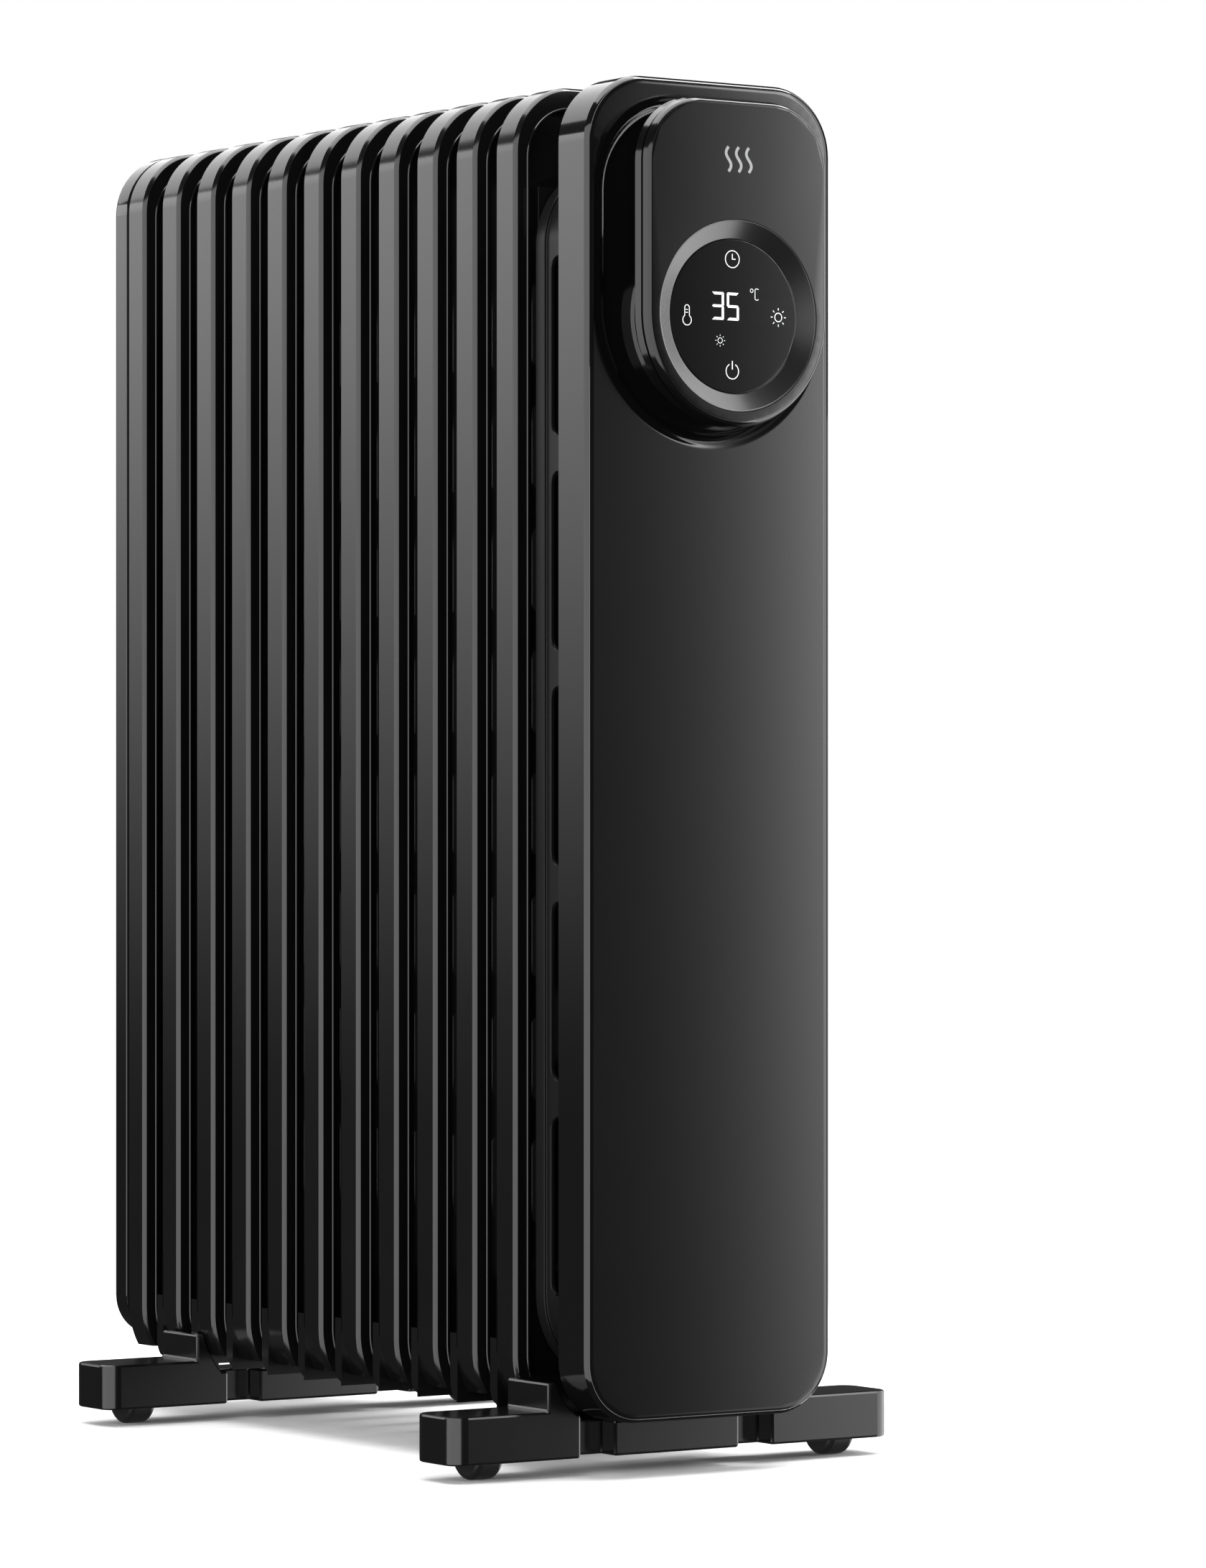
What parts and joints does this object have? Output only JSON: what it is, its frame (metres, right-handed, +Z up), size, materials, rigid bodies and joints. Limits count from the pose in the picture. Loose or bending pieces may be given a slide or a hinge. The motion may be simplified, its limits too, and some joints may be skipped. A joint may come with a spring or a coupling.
{
  "type": "oil filled radiator heater",
  "caption": "Free-standing oil filled radiator heater: a row of black steel fins on cross feet with rollers, and a tall front panel with a round touch display pod.",
  "frame": {"origin": "on the floor, under the middle of the heater's bounding box", "axes": "+Z up, the display faces -Y, +X to the right seen from the front"},
  "size_m": [0.261, 0.4806, 0.6772],
  "materials": {
    "painted_steel": "satin black powder coat",
    "gloss_black": "gloss black",
    "satin_black": "satin black",
    "dark_lens": "dark gloss lens",
    "black_rubber": "matte",
    "bare_steel": "zinc plated",
    "galvanised": "galvanised",
    "copper_alloy": "plain",
    "circuit_board": "solder mask",
    "white_plastic": "plain",
    "roller_nylon": "satin nylon"
  },
  "bodies": {
    "heater_body": {"fin_01": "painted_steel", "fin_02": "painted_steel", "fin_03": "painted_steel", "fin_04": "painted_steel", "fin_05": "painted_steel", "fin_06": "painted_steel", "fin_07": "painted_steel", "fin_08": "painted_steel", "fin_09": "painted_steel", "fin_10": "painted_steel", "fin_11": "painted_steel", "upper_collars": "painted_steel", "lower_collars": "painted_steel", "hub_caps": "painted_steel", "pod_front_plate": "gloss_black", "display_ring": "gloss_black", "front_panel": "gloss_black", "rear_cap": "gloss_black", "control_housing": "satin_black", "pod_back_shell": "satin_black", "pod_neck": "satin_black", "front_foot": "satin_black", "rear_foot": "satin_black", "cord_inlet_gland": "satin_black", "power_board_parts": "satin_black", "display_lens": "dark_lens", "pod_seal": "black_rubber", "foot_pads": "black_rubber", "panel_screws": "bare_steel", "pod_screws": "bare_steel", "housing_bolts": "bare_steel", "rear_cap_screws": "bare_steel", "front_foot_screws": "bare_steel", "rear_clamp_bolt": "bare_steel", "rear_clamp_nuts": "bare_steel", "roller_axles": "bare_steel", "tip_switch_pin": "bare_steel", "touch_springs": "bare_steel", "heating_element": "bare_steel", "thermal_cutout": "bare_steel", "filler_plug": "bare_steel", "housing_standoffs": "bare_steel", "heat_shield": "galvanised", "element_flange": "copper_alloy", "display_board": "circuit_board", "power_board": "circuit_board", "display_module": "white_plastic", "board_posts": "white_plastic", "terminal_block": "white_plastic", "room_sensor": "white_plastic", "tip_switch_case": "white_plastic", "display_ribbon": "white_plastic", "internal_leads": "white_plastic"},
    "front_left_roller": {"front_left_roller": "roller_nylon"},
    "front_right_roller": {"front_right_roller": "roller_nylon"},
    "rear_left_roller": {"rear_left_roller": "roller_nylon"},
    "rear_right_roller": {"rear_right_roller": "roller_nylon"},
    "tip_weight": {"tip_switch_weight": "copper_alloy"}
  },
  "joints": [
    {"name": "front_left_roll", "type": "hinge", "parent": "heater_body", "child": "front_left_roller", "pos_m": [-0.105, -0.1705, 0.01325], "axis": [1, 0, 0], "continuous": true},
    {"name": "front_right_roll", "type": "hinge", "parent": "heater_body", "child": "front_right_roller", "pos_m": [0.105, -0.1705, 0.01325], "axis": [1, 0, 0], "continuous": true},
    {"name": "rear_left_roll", "type": "hinge", "parent": "heater_body", "child": "rear_left_roller", "pos_m": [-0.105, 0.16371, 0.01325], "axis": [1, 0, 0], "continuous": true},
    {"name": "rear_right_roll", "type": "hinge", "parent": "heater_body", "child": "rear_right_roller", "pos_m": [0.105, 0.16371, 0.01325], "axis": [1, 0, 0], "continuous": true},
    {"name": "tip_switch_swing", "type": "hinge", "parent": "heater_body", "child": "tip_weight", "pos_m": [-0.03, -0.17425, 0.2272], "axis": [0, 1, 0], "range_deg": [-25, 25]}
  ]
}
